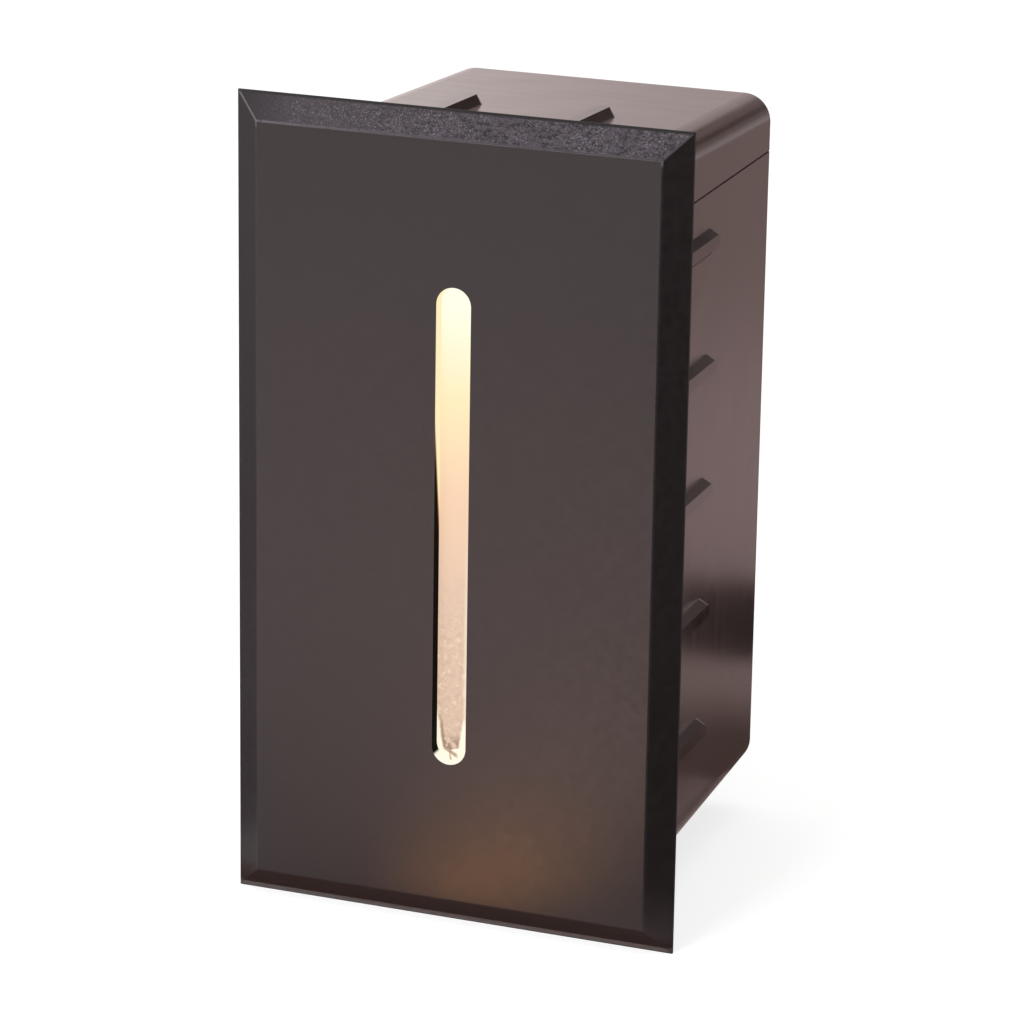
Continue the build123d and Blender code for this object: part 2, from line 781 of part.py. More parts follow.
def driver_case():
    width = 2 * driver_half_width
    height = driver_top - driver_bottom
    outer = Pos(0, driver_middle) * RectangleRounded(width, height, driver_corner)
    inner = Pos(0, driver_middle) * Rectangle(width - 2 * driver_wall, height - 2 * driver_wall)
    body = slab(outer, cover_back, case_back)
    body += ear_block(cover_back, cover_back + driver_ear_thickness)
    body -= slab(inner, cover_back, case_inner_back)
    lead_hole = Pos(0, circuit_back + output_header[1] / 2, driver_top)
    for x in (-lead_spread, lead_spread):
        hole = Cylinder(wire_radius + wire_clearance, 2 * (driver_wall + past))
        body -= lead_hole * Pos(x, 0, 0) * hole
    for x in (-terminal_pole, terminal_pole):
        body -= rod(x, input_z, wire_radius + wire_clearance, case_inner_back - past, case_back + past)
    return body


def driver_board():
    height = driver_top - driver_bottom - 2 * (driver_wall + circuit_clearance)
    outline = Pos(0, driver_middle) * Rectangle(2 * circuit_half, height)
    return slab(outline, circuit_front, circuit_back)


def header(size, z):
    """Wire header on the driver board."""
    width, depth, height = size
    return slab(Pos(0, z) * Rectangle(width, height), circuit_back, circuit_back + depth)


def driver_headers():
    return [header(output_header, output_z), header(input_header, input_z)]


def driver_choke():
    core = rod(0, choke_z, choke_radius, circuit_back, circuit_back + choke_height)
    return core - choke_ring(choke_radius + past)


def choke_ring(outer):
    """Ring in the choke's groove, out to a radius."""
    ring = Circle(outer) - Circle(choke_radius - choke_groove)
    front = circuit_back + choke_flange
    return slab(Pos(0, choke_z) * ring, front, circuit_back + choke_height - choke_flange)


def driver_choke_coil():
    return choke_ring(choke_radius - choke_coil_setback)


def driver_capacitors():
    parts = []
    for x in (-capacitor_x, capacitor_x):
        can = rod(x, capacitor_z, capacitor_radius, circuit_back, circuit_back + capacitor_height)
        parts.append(fillet(can.edges().group_by(Axis.Y)[-1], capacitor_round))
    return parts


def driver_chips():
    """Controller below the choke and rectifier above it."""
    chips = []
    for z, size in ((controller_z, controller_size), (rectifier_z, rectifier_size)):
        chips.append(slab(Pos(0, z) * Rectangle(*size), circuit_back, circuit_back + chip_height))
    return chips


def driver_screws():
    seat = cover_back + driver_ear_thickness
    length = seat - chassis_front + driver_screw_tip
    places = [(x, seat, driver_middle) for x in (-driver_ear_x, driver_ear_x)]
    return [set_screw(screw_m3, length, place, (0, 1, 0)) for place in places]


def feed_leads():
    """Two wires from the driver's input header to the top of the terminal block."""
    header_y = circuit_back + input_header[1]
    leads = []
    for x in (-terminal_pole, terminal_pole):
        points = [(x, header_y, input_z), (x, terminal_wire_y, input_z), (x, terminal_wire_y, terminal_top)]
        leads.append(wire(points, feed_bend))
    return leads


# ---- terminal block ----
def terminal_block():
    body = block(
        (-terminal_half_width, terminal_half_width),
        (terminal_front, inner_back),
        (terminal_bottom, terminal_top),
    )
    ear_back = inner_back - terminal_pad_height
    ear_z = (terminal_ear_z - terminal_ear_height / 2, terminal_ear_z + terminal_ear_height / 2)
    reach = terminal_half_width + terminal_ear
    body += block((-reach, reach), (ear_back - terminal_ear_thickness, ear_back), ear_z)
    for x in (-terminal_ear_x, terminal_ear_x):
        body -= rod(x, terminal_ear_z, screw_m25[0] + frame_clearance, terminal_front - past, ear_back + past)
    slot_depth = (terminal_front - past, pivot_y + lever_heel + lever_clearance)
    slot_z = (pivot_z - lever_length - lever_clearance, pivot_z - lever_front + lever_clearance)
    for x in (-terminal_pole, terminal_pole):
        slot_x = (x - terminal_slot / 2, x + terminal_slot / 2)
        body -= block(slot_x, slot_depth, slot_z)
        hole = Cylinder(terminal_hole, 2 * terminal_hole_depth)
        body -= Pos(x, terminal_wire_y, terminal_bottom) * hole
        body -= contact(x, 0)
    return body - lever_pivot_pin()


def contact(x, clearance):
    """Brass contact behind one lever slot, above its wire hole."""
    low = terminal_bottom + terminal_hole_depth
    width = terminal_slot / 2 - clearance
    half_depth = contact_half_depth - clearance
    depth = (terminal_wire_y - half_depth, terminal_wire_y + half_depth)
    high = terminal_top - contact_below_top
    return block((x - width, x + width), depth, (low + clearance, high - clearance))


def terminal_contacts():
    return [contact(x, screw_clearance) for x in (-terminal_pole, terminal_pole)]


def terminal_block_screws():
    seat = inner_back - terminal_pad_height - terminal_ear_thickness
    length = terminal_ear_thickness + terminal_pad_height + terminal_screw_bite - screw_tip_gap
    places = [(x, terminal_ear_z) for x in (-terminal_ear_x, terminal_ear_x)]
    return [set_screw(screw_m25, length, (x, seat, z), (0, -1, 0)) for x, z in places]


def lever_pivot_pin():
    return side_slab(Pos(pivot_y, pivot_z) * Circle(pivot_radius), -pivot_reach, pivot_reach)


def lever(x):
    """Terminal lever, closed: its arm lies down along the block's front."""
    heel = Circle(lever_heel)
    lever_back = lever_front + lever_thickness
    arm = Polygon(
        (lever_front, 0),
        (lever_front, -lever_length),
        (lever_back, -lever_length),
        (lever_back, -lever_heel),
        (0, -lever_heel / 2),
        (0, 0),
        align=None,
    )
    tab = Pos(lever_front + lever_tab_in, -lever_length + lever_tab / 2) * Circle(lever_tab / 2)
    outline = heel + arm + tab
    outline -= Circle(pivot_radius + pivot_clearance)
    outline = Pos(pivot_y, pivot_z) * outline
    return side_slab(outline, x - lever_width / 2, x + lever_width / 2)


# ---- cable gland ----
def gland_part(outline, y_front, y_back):
    """Solid on the gland's axis."""
    return slab(Pos(0, gland_z) * outline, y_front, y_back)


def gland_washer_ring():
    ring = Circle(gland_washer_radius) - Circle(gland_thread + screw_clearance)
    return gland_part(ring, pocket_front, gland_hex_front)


def gland_body():
    body = gland_part(Circle(gland_thread), gland_inner_end, gland_hex_front)
    body += gland_part(hexagon(gland_hex), gland_hex_front, gland_hex_back)
    body += gland_part(Circle(gland_collar_radius), gland_hex_back, gland_collar_back)
    body -= gland_part(Circle(gland_bore), gland_inner_end - past, gland_collar_back + past)
    return body - gland_part(Circle(seal_radius + screw_clearance), seal_start, gland_collar_back + past)


def gland_locknut():
    ring = hexagon(locknut_hex) - Circle(gland_thread + screw_clearance)
    return gland_part(ring, pocket_inner - locknut_height, pocket_inner)


def gland_seal():
    return gland_part(Circle(seal_radius) - Circle(seal_bore), seal_start, seal_end)


def gland_nut():
    body = gland_part(hexagon(nut_hex), nut_front, nut_back)
    dome = gland_part(Circle(nut_hex / sqrt(3) - nut_corner_trim), nut_front, nut_back)
    body &= chamfer(dome.edges().group_by(Axis.Y)[-1], nut_chamfer)
    body -= gland_part(Circle(gland_collar_radius + gland_fit), nut_front - past, seal_end + gland_fit)
    return body - gland_part(Circle(nut_mouth), nut_front - past, nut_back + past)


# ---- all nodes ----
nodes = {
    "faceplate": faceplate(),
    "rim_seal": rim_seal(),
    "slot_window": slot_window(),
    "window_gasket": window_gasket(),
    "window_frame": window_frame(),
    "window_frame_screws": window_frame_screws(),
    "spring_clips": spring_clips(),
    "clip_screws": clip_screws(),
    "housing": housing(),
    "chassis_plate": chassis_plate(),
    "chassis_screws": chassis_screws(),
    "light_chamber": light_chamber(),
    "chamber_screws": chamber_screws(),
    "led_board": led_board(),
    "led_packages": led_packages(),
    "led_board_screws": led_board_screws(),
    "thermal_pad": thermal_pad(),
    "heat_sink": heat_sink(),
    "heat_sink_screws": heat_sink_screws(),
    "lead_grommet": lead_grommet(),
    "led_leads": led_leads(),
    "driver_cover": driver_cover(),
    "driver_case": driver_case(),
    "driver_board": driver_board(),
    "driver_headers": driver_headers(),
    "driver_choke": driver_choke(),
    "driver_choke_coil": driver_choke_coil(),
    "driver_capacitors": driver_capacitors(),
    "driver_chips": driver_chips(),
    "driver_screws": driver_screws(),
    "feed_leads": feed_leads(),
    "terminal_block": terminal_block(),
    "terminal_contacts": terminal_contacts(),
    "terminal_block_screws": terminal_block_screws(),
    "lever_pivot_pin": lever_pivot_pin(),
    "lever_left": lever(-terminal_pole),
    "lever_right": lever(terminal_pole),
    "gland_washer": gland_washer_ring(),
    "gland_body": gland_body(),
    "gland_locknut": gland_locknut(),
    "gland_seal": gland_seal(),
    "gland_nut": gland_nut(),
}

os.makedirs("parts", exist_ok=True)
for name, shape in nodes.items():
    solids = shape if isinstance(shape, list) else [shape]
    solids = [solid for part in solids for solid in part.solids()]
    export_step(Compound(children=solids) if len(solids) > 1 else solids[0], f"parts/{name}.step")
    print(name, len(solids))
print("wire bends", lead_bend, feed_bend)
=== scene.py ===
"""Recessed step light: finishes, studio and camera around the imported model."""
import json
import math
from types import SimpleNamespace

import bpy
from mathutils import Matrix, Vector


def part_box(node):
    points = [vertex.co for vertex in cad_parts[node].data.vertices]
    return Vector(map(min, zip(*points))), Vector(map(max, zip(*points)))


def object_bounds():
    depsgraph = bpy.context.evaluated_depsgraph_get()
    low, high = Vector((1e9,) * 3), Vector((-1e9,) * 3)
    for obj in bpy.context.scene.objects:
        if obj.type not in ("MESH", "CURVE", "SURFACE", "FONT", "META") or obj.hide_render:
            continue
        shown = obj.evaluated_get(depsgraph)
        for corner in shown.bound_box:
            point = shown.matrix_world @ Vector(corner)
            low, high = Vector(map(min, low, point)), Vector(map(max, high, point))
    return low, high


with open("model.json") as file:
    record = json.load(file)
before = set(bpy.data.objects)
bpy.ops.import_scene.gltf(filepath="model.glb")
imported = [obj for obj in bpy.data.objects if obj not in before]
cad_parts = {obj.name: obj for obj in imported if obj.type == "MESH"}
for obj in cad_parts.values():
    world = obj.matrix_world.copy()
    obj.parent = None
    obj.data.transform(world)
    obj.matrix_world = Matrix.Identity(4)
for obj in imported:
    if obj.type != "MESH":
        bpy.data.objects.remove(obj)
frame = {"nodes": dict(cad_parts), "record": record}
nodes = frame["nodes"]
cad_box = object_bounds()

MM = 0.001

# ---- sizes that the finishes follow, in millimetres ----
plate_low, plate_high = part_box("faceplate")
plate_front = -plate_low.y / MM
plate_side = plate_high.x / MM
plate_top = plate_high.z / MM
bevel_inset = 4.0
edge_land = 0.4                     # straight side of the plate next to the wall
slot_half_width = 2.7
slot_half_height = 36.5
housing_side = plate_side - 7.45    # half width of the housing at the plate
housing_top = plate_top - 5.15      # half height there
draw_x = 0.0187                     # how much each side draws in per millimetre of depth
draw_z = 0.0351
rib_end = 34.0                      # depth that the ribs reach
rib_pitch = 19.3                    # of the five ribs on each side
rib_flank = 1.45                    # from a side rib's middle to its sloping flank
rib_foot = 2.1                      # and to the painted shadow line under it


# ---- node helpers ----
class Finish:
    """A Principled material on the model's own coordinates, in millimetres."""

    def __init__(self, name, color, roughness, **sockets):
        self.material = bpy.data.materials.new(name)
        self.material.use_nodes = True
        self.tree = self.material.node_tree
        self.shader = self.tree.nodes["Principled BSDF"]
        self.set("Base Color", (*color, 1.0))
        self.set("Roughness", roughness)
        for socket, value in sockets.items():
            self.set(socket.replace("_", " "), value)
        place = self.node("ShaderNodeTexCoord")
        scale = self.node("ShaderNodeMapping")
        scale.inputs["Scale"].default_value = (1 / MM, 1 / MM, 1 / MM)
        self.link(place.outputs["Object"], scale.inputs["Vector"])
        self.place = scale.outputs["Vector"]
        self.normal = None

    def node(self, kind, **values):
        made = self.tree.nodes.new(kind)
        for name, value in values.items():
            setattr(made, name, value)
        return made

    def link(self, source, target):
        self.tree.links.new(source, target)

    def set(self, socket, value):
        self.shader.inputs[socket].default_value = value

    def axes(self):
        made = self.node("ShaderNodeSeparateXYZ")
        self.link(self.place, made.inputs["Vector"])
        return made.outputs["X"], made.outputs["Y"], made.outputs["Z"]

    def stretched(self, x, y, z):
        """Coordinates scaled by axis, for grain that runs one way."""
        scale = self.node("ShaderNodeMapping")
        scale.inputs["Scale"].default_value = (x, y, z)
        self.link(self.place, scale.inputs["Vector"])
        return scale.outputs["Vector"]

    def noise(self, scale, detail=3.0, rough=0.55, place=None):
        made = self.node("ShaderNodeTexNoise")
        made.inputs["Scale"].default_value = scale
        made.inputs["Detail"].default_value = detail
        made.inputs["Roughness"].default_value = rough
        self.link(place or self.place, made.inputs["Vector"])
        return made.outputs["Fac"]

    def cells(self, scale):
        made = self.node("ShaderNodeTexVoronoi")
        made.inputs["Scale"].default_value = scale
        self.link(self.place, made.inputs["Vector"])
        return made.outputs["Distance"]

    def math(self, operation, first, second=0.0):
        made = self.node("ShaderNodeMath", operation=operation)
        for index, value in enumerate((first, second)):
            if isinstance(value, (int, float)):
                made.inputs[index].default_value = value
            else:
                self.link(value, made.inputs[index])
        return made.outputs[0]

    def times(self, first, *others):
        """Product of masks, values and numbers."""
        for other in others:
            first = self.math("MULTIPLY", first, other)
        return first

    def distance(self, value, spot):
        """How far the value is from a number."""
        return self.math("ABSOLUTE", self.math("SUBTRACT", value, spot))

    def mapped(self, shape, value, low, high, to_low, to_high):
        made = self.node("ShaderNodeMapRange", interpolation_type=shape)
        numbers = {"From Min": low, "From Max": high, "To Min": to_low, "To Max": to_high}
        for socket, number in numbers.items():
            made.inputs[socket].default_value = number
        self.link(value, made.inputs["Value"])
        return made.outputs["Result"]

    def linear(self, value, low, high, to_low=0.0, to_high=1.0):
        """The value moved evenly from one range to another, and held at its ends."""
        return self.mapped("LINEAR", value, low, high, to_low, to_high)

    def between(self, value, low, high, to_low=0.0, to_high=1.0):
        """The same with a smooth start and end."""
        return self.mapped("SMOOTHSTEP", value, low, high, to_low, to_high)

    def steps(self, value, *stops):
        """Colour ramp over a value: stops are (position, colour)."""
        ramp = self.node("ShaderNodeValToRGB")
        elements = ramp.color_ramp.elements
        while len(elements) < len(stops):
            elements.new(0.5)
        for element, (position, color) in zip(elements, stops):
            element.position = position
            element.color = (*color, 1.0)
        self.link(value, ramp.inputs["Fac"])
        return ramp.outputs["Color"]

    def color_between(self, amount, first, second):
        made = self.node("ShaderNodeMix", data_type="RGBA")
        for socket, value in (("A", first), ("B", second)):
            target = next(i for i in made.inputs if i.name == socket and i.type == "RGBA")
            if isinstance(value, tuple):
                target.default_value = (*value, 1.0)
            else:
                self.link(value, target)
        self.link(amount, made.inputs["Factor"])
        return next(o for o in made.outputs if o.type == "RGBA")

    def bump(self, height, depth):
        """Relief of a depth in millimetres, over what was there before."""
        made = self.node("ShaderNodeBump")
        made.inputs["Strength"].default_value = 1.0
        made.inputs["Distance"].default_value = depth * MM
        self.link(height, made.inputs["Height"])
        if self.normal is not None:
            self.link(self.normal, made.inputs["Normal"])
        self.normal = made.outputs["Normal"]
        self.link(self.normal, self.shader.inputs["Normal"])

    def color(self, source):
        self.link(source, self.shader.inputs["Base Color"])

    def roughness(self, source):
        self.link(source, self.shader.inputs["Roughness"])

    def metallic(self, source):
        self.link(source, self.shader.inputs["Metallic"])

    def glow(self, source):
        """Light of the surface's own, in the source's colours."""
        self.link(source, self.shader.inputs["Emission Color"])
        self.set("Emission Strength", 1.0)


def shade(color, factor):
    return tuple(min(1.0, part * factor) for part in color)


def moulded(name, color, roughness, grain=6.0, depth=0.004, spread=0.08):
    """Moulded plastic: fine grain, faint cloudiness in colour and gloss."""
    made = Finish(name, color, roughness)
    cloud = made.noise(0.12, 4.0)
    made.color(made.color_between(cloud, shade(color, 1 - spread), shade(color, 1 + spread)))
    made.roughness(made.between(made.noise(0.35, 3.0), 0.2, 0.8, roughness * 0.88, roughness * 1.12))
    made.bump(made.noise(grain, 2.0), depth)
    return made


def metal(name, color, roughness, run):
    """Bare metal with fine lines along one axis."""
    made = Finish(name, color, roughness, Metallic=1.0)
    lines = made.noise(1.6, 4.0, place=made.stretched(*run))
    made.color(made.color_between(lines, shade(color, 0.86), shade(color, 1.08)))
    made.roughness(made.between(lines, 0.25, 0.75, roughness * 0.8, roughness * 1.25))
    made.bump(lines, 0.002)
    return made


def rubbery(name, color, grain):
    """Matt rubber or foam with small pores."""
    made = Finish(name, color, 0.85)
    pores = made.cells(grain)
    made.color(made.color_between(pores, shade(color, 0.7), shade(color, 1.3)))
    made.bump(pores, 0.03)
    return made


# ---- the faceplate ----
def plate_zones(made):
    """Masks and distances in millimetres that the plate's finish is made from."""
    x, y, z = made.axes()
    beside_x = made.math("ABSOLUTE", x)
    beside_z = made.math("ABSOLUTE", z)
    past_x = made.math("SUBTRACT", beside_x, plate_side - bevel_inset)
    past_z = made.math("SUBTRACT", beside_z, plate_top - bevel_inset)
    past_face = made.math("MAXIMUM", past_x, past_z)
    on_bevel = made.between(past_face, 0.0, 0.2)
    past_mitre = made.math("SUBTRACT", z, made.math("ADD", beside_x, plate_top - plate_side))
    on_top = made.times(made.between(past_mitre, -0.3, 0.3), on_bevel)

    # the grit, with its painted sheen and glints, starts past the bevel's smooth left end and grows coarser
    # to the right
    starts = made.between(x, -34.0, -24.0, 0.0, 0.5)
    grows = made.linear(x, -24.0, 5.0, 0.0, 0.5)
    depth = made.math("ADD", y, plate_front)
    wall_x = made.between(beside_x, slot_half_width + 0.06, slot_half_width + 0.02)
    wall_z = made.between(beside_z, slot_half_height + 0.06, slot_half_height + 0.02)
    return SimpleNamespace(
        x=x,
        z=z,
        depth=depth,
        past_face=past_face,
        past_mitre=past_mitre,
        on_bevel=on_bevel,
        on_top=on_top,
        on_land=made.between(y, -edge_land - 0.15, -edge_land),
        in_slot=made.times(wall_x, wall_z, made.between(depth, 0.03, 0.12)),
        grit_and_sheen=made.times(on_top, made.math("ADD", starts, grows)),
        grit=made.noise(1.5, 8.0, 0.85, place=made.stretched(0.7, 1.0, 1.0)),
    )


def gritty_bevel_with_sheen(made, zones, coat):
    """Top bevel: dark pits of grit, with a paler ground that is painted reflection and bright specks that
    are painted glints.
    """
    sheen_color = (0.118, 0.093, 0.120)
    pit_color = (0.004, 0.003, 0.004)
    glint_color = (0.36, 0.32, 0.36)
    # painted reflection: the top bevel made paler where it mirrors the light from above
    coat = made.color_between(made.times(zones.grit_and_sheen, 0.95), coat, sheen_color)
    pits = made.between(zones.grit, 0.51, 0.46)
    coat = made.color_between(made.times(pits, zones.grit_and_sheen, 0.9), coat, pit_color)
    # painted glints: bright specks in patches
    glints = made.between(made.noise(3.4, 4.0, 0.85), 0.54, 0.60)
    patches = made.between(made.noise(0.25, 2.0), 0.42, 0.6, 0.4, 1.0)
    return made.color_between(made.times(glints, patches, zones.grit_and_sheen), coat, glint_color)


def edge_highlights_and_rim(made, zones, coat):
    """Painted highlights as broken pale lines round the face and along the mitres, and a dark line at the
    top bevel's rim.
    """
    face_highlight_color = (0.16, 0.14, 0.16)
    mitre_highlight_color = (0.15, 0.13, 0.15)
    rim_color = (0.006, 0.003, 0.004)
    broken = made.between(made.noise(1.1, 5.0), 0.3, 0.5, 0.35, 1.0)
    # painted highlights on the face's edge, stronger along the top, and along the mitres
    round_face = made.between(made.distance(zones.past_face, 0.1), 0.22, 0.08)
    mostly_top = made.between(zones.past_mitre, -1.2, -0.4, 0.12, 0.85)
    coat = made.color_between(made.times(round_face, broken, mostly_top), coat, face_highlight_color)
    along_mitre = made.between(made.distance(zones.past_mitre, 0.0), 0.3, 0.08)
    coat = made.color_between(made.times(along_mitre, zones.on_bevel, broken), coat, mitre_highlight_color)
    rim = made.between(zones.past_face, bevel_inset - 0.42, bevel_inset - 0.22)
    return made.color_between(made.times(rim, zones.on_top), coat, rim_color)


def slot_light(made, zones):
    """The window's light on the slot's walls: on the upper part, fading outwards, and at the lower end."""
    fade_from = made.math("SUBTRACT", 15.0, made.times(zones.depth, 7.5))
    upper_glow = made.between(made.math("SUBTRACT", zones.z, fade_from), -3.0, 4.0)
    lit = made.steps(
        upper_glow,
        (0.0, (0.0, 0.0, 0.0)),
        (0.45, (0.30, 0.13, 0.04)),
        (1.0, (1.0, 0.86, 0.52)),
    )
    lower_glow = made.between(zones.z, 1.6 - slot_half_height, 1.1 - slot_half_height)
    lit = made.color_between(lower_glow, lit, (1.0, 0.97, 0.82))
    made.glow(made.color_between(zones.in_slot, (0.0, 0.0, 0.0), lit))


def plate_coat():
    """Dark satin coat: fine on the face, gritty on the top bevel with painted sheen and glints, painted
    highlights along edges, painted shade and painted light inside the slot.
    """
    color = (0.0090, 0.0060, 0.0066)
    slot_shade_color = (0.002, 0.0015, 0.0015)
    made = Finish("plate_coat", color, 0.42)
    zones = plate_zones(made)
    coat = made.color_between(made.noise(0.05, 5.0), shade(color, 0.9), shade(color, 1.1))
    coat = gritty_bevel_with_sheen(made, zones, coat)
    coat = edge_highlights_and_rim(made, zones, coat)
    coat = made.color_between(zones.on_land, coat, shade(color, 0.5))
    # painted shade: the slot's walls near black and, through metallic, without reflections
    made.color(made.color_between(zones.in_slot, coat, slot_shade_color))
    made.metallic(zones.in_slot)
    slot_light(made, zones)

    gloss = made.between(made.noise(0.8, 4.0), 0.3, 0.7, 0.37, 0.45)
    dull_end = made.times(zones.on_top, made.between(zones.x, -18.0, -30.0))
    for area, dullness in ((zones.on_land, 0.8), (zones.in_slot, 0.9), (dull_end, 0.75)):
        gloss = made.math("MAXIMUM", gloss, made.times(area, dullness))
    made.roughness(gloss)
    made.bump(made.noise(4.5, 3.0), 0.004)
    made.bump(made.times(zones.grit, zones.grit_and_sheen), 0.7)
    return made


# ---- the housing ----
def from_rib_level(made, z, below):
    """Distance from the nearest level that lies so far below a side rib's middle."""
    return made.math("PINGPONG", made.math("ADD", z, rib_pitch * 2 + below), rib_pitch / 2)


def rib_masks(made):
    """Painted shade on the ribs, fainter on the side ribs' lower flanks, and the painted shadow line under
    each side rib.
    """
    x, y, z = made.axes()
    drawn_x = made.math("ADD", made.math("ABSOLUTE", x), made.times(y, draw_x))
    drawn_z = made.math("ADD", made.math("ABSOLUTE", z), made.times(y, draw_z))
    behind_flange = made.between(y, 0.1, 0.3)
    along_ribs = made.times(made.between(y, rib_end + 2.0, rib_end + 1.0), behind_flange)
    side_ribs = made.between(drawn_x, housing_side + 0.08, housing_side + 0.25)
    lower_flank = from_rib_level(made, z, rib_flank)
    side_ribs = made.times(side_ribs, made.between(lower_flank, 0.3, 0.7, 0.35, 1.0))
    top_ribs = made.between(drawn_z, housing_top + 0.08, housing_top + 0.25)
    rib_shade = made.times(made.math("MAXIMUM", side_ribs, top_ribs), along_ribs)

    line = made.between(from_rib_level(made, z, rib_foot), 0.42, 0.15)
    on_side = made.between(drawn_x, housing_side - 0.4, housing_side - 0.3)
    five_only = made.between(made.math("ABSOLUTE", z), rib_pitch * 2.4, rib_pitch * 2.3)
    before_end = made.between(y, rib_end, rib_end - 1.0)
    rib_shadow_line = made.times(line, along_ribs, on_side, five_only, before_end)
    return rib_shade, rib_shadow_line


def housing_plastic():
    """Glossy taupe moulding: faint flow bands, ribs darkened with painted shade, and a painted shadow line
    under the side ribs.
    """
    color = (0.052, 0.034, 0.031)
    made = Finish("housing_plastic", color, 0.19, IOR=1.5)
    bands = made.noise(0.45, 5.0, 0.6, place=made.stretched(0.08, 1.0, 0.08))
    coat = made.color_between(bands, shade(color, 0.9), shade(color, 1.1))
    rib_shade, rib_shadow_line = rib_masks(made)
    # painted shade: the ribs made darker, fainter on the side ribs' lower flanks
    coat = made.color_between(rib_shade, coat, shade(color, 0.28))
    # painted shadow: a near-black line under each side rib, kept from reflecting by metallic and roughness
    made.color(made.color_between(rib_shadow_line, coat, shade(color, 0.1)))
    made.metallic(made.times(rib_shadow_line, 0.8))
    gloss = made.between(bands, 0.3, 0.7, 0.17, 0.21)
    made.roughness(made.math("MAXIMUM", gloss, made.times(rib_shadow_line, 0.85)))
    made.bump(made.noise(0.09, 1.0), 0.05)
    made.bump(made.noise(6.0, 2.0), 0.0012)
    return made


# ---- the window ----
def window_run(made, x, z):
    """Colours from the lower to the upper end, mottled in the lower part, paler along the right edge."""
    mottle_color = (0.62, 0.44, 0.33)
    spot_color = (0.82, 0.64, 0.49)
    edge_color = (0.93, 0.80, 0.62)
    run = made.steps(
        made.linear(z, -slot_half_height, slot_half_height),
        (0.10, (0.70, 0.51, 0.375)),
        (0.36, (0.76, 0.54, 0.395)),
        (0.56, (0.89, 0.61, 0.415)),
        (0.76, (0.985, 0.80, 0.475)),
        (0.96, (1.00, 0.985, 0.78)),
    )
    low_part = made.between(z, -2.0, -22.0)
    mottle = made.noise(1.5, 6.0, 0.7, place=made.stretched(1.0, 1.0, 0.7))
    run = made.color_between(made.times(made.between(mottle, 0.4, 0.66), low_part), run, mottle_color)
    spots = made.between(made.noise(0.9, 4.0), 0.54, 0.72)
    run = made.color_between(made.times(spots, low_part), run, spot_color)
    right_edge = made.times(made.between(x, 1.2, 1.8), made.between(z, 8.0, -20.0), 0.7)
    return made.color_between(right_edge, run, edge_color)


def window_lower_end(made, x, z, run):
    """Two bright strips that widen downwards and meet at the lower end, with dark folds between them."""
    fold_color = (0.30, 0.17, 0.10)
    strip_color = (1.0, 0.93, 0.74)
    blot_color = (0.34, 0.22, 0.15)
    foot_color = (0.34, 0.20, 0.12)
    from_end = made.math("ADD", z, slot_half_height)
    wobble = made.times(made.math("SUBTRACT", made.noise(0.9, 3.0), 0.5), 0.5)
    middle = made.math("ADD", made.math("ADD", x, 0.55), wobble)
    half_gap = made.times(
        made.linear(from_end, 2.0, 9.2, 1.15, 2.25),
        made.between(from_end, 1.5, 2.0),
    )
    outside = made.math("SUBTRACT", made.math("ABSOLUTE", middle), half_gap)

    fold = made.times(
        made.between(made.distance(outside, -0.2), 0.35, 0.05),
        made.between(middle, 0.9, -0.6, 0.25, 1.0),
        made.between(from_end, 8.0, 4.5),
        0.75,
    )
    run = made.color_between(fold, run, fold_color)
    strips = made.times(
        made.between(outside, 0.0, 0.3),
        made.between(made.math("ADD", from_end, middle), 9.4, 7.6),
    )
    run = made.color_between(strips, run, strip_color)
    blots = made.times(
        made.between(made.noise(1.1, 3.0), 0.46, 0.56),
        made.between(from_end, 4.6, 2.4),
        made.between(outside, 0.15, -0.15),
    )
    run = made.color_between(blots, run, blot_color)
    foot_rise = made.math("ADD", from_end, made.times(middle, 0.55))
    foot_line = made.times(
        made.between(made.distance(foot_rise, 1.3), 0.45, 0.15),
        made.between(middle, -1.3, -0.9),
        made.between(middle, 1.3, 0.8),
        0.8,
    )
    return made.color_between(foot_line, run, foot_color)


def window_frosted():
    """Frosted window lit from above: cream at the top, beige lower down, bright at the lower end."""
    made = Finish("window_frosted", (0.02, 0.018, 0.015), 0.35)
    x, _, z = made.axes()
    made.glow(window_lower_end(made, x, z, window_run(made, x, z)))
    made.bump(made.noise(2.2, 3.0), 0.02)
    return made


# ---- the pieces inside ----
def circuit(name, color, track):
    """Circuit board: solder mask with fine straight tracks under it."""
    made = Finish(name, color, 0.28)
    bricks = made.node("ShaderNodeTexBrick", offset=0.5)
    bricks.inputs["Scale"].default_value = 0.45
    bricks.inputs["Mortar Size"].default_value = 0.035
    bricks.inputs["Color1"].default_value = (*color, 1.0)
    bricks.inputs["Color2"].default_value = (*shade(color, 1.15), 1.0)
    bricks.inputs["Mortar"].default_value = (*track, 1.0)
    swap = made.node("ShaderNodeMapping")
    swap.inputs["Rotation"].default_value = (math.radians(90), 0.0, 0.0)
    made.link(made.place, swap.inputs["Vector"])
    made.link(swap.outputs["Vector"], bricks.inputs["Vector"])
    made.color(bricks.outputs["Color"])
    made.bump(bricks.outputs["Fac"], 0.02)
    return made


def led_phosphor():
    """Yellow phosphor that glows warm white."""
    made = moulded("led_phosphor", (0.9, 0.72, 0.25), 0.4, grain=9.0)
    made.set("Emission Color", (1.0, 0.86, 0.6, 1.0))
    made.set("Emission Strength", 3.0)
    return made


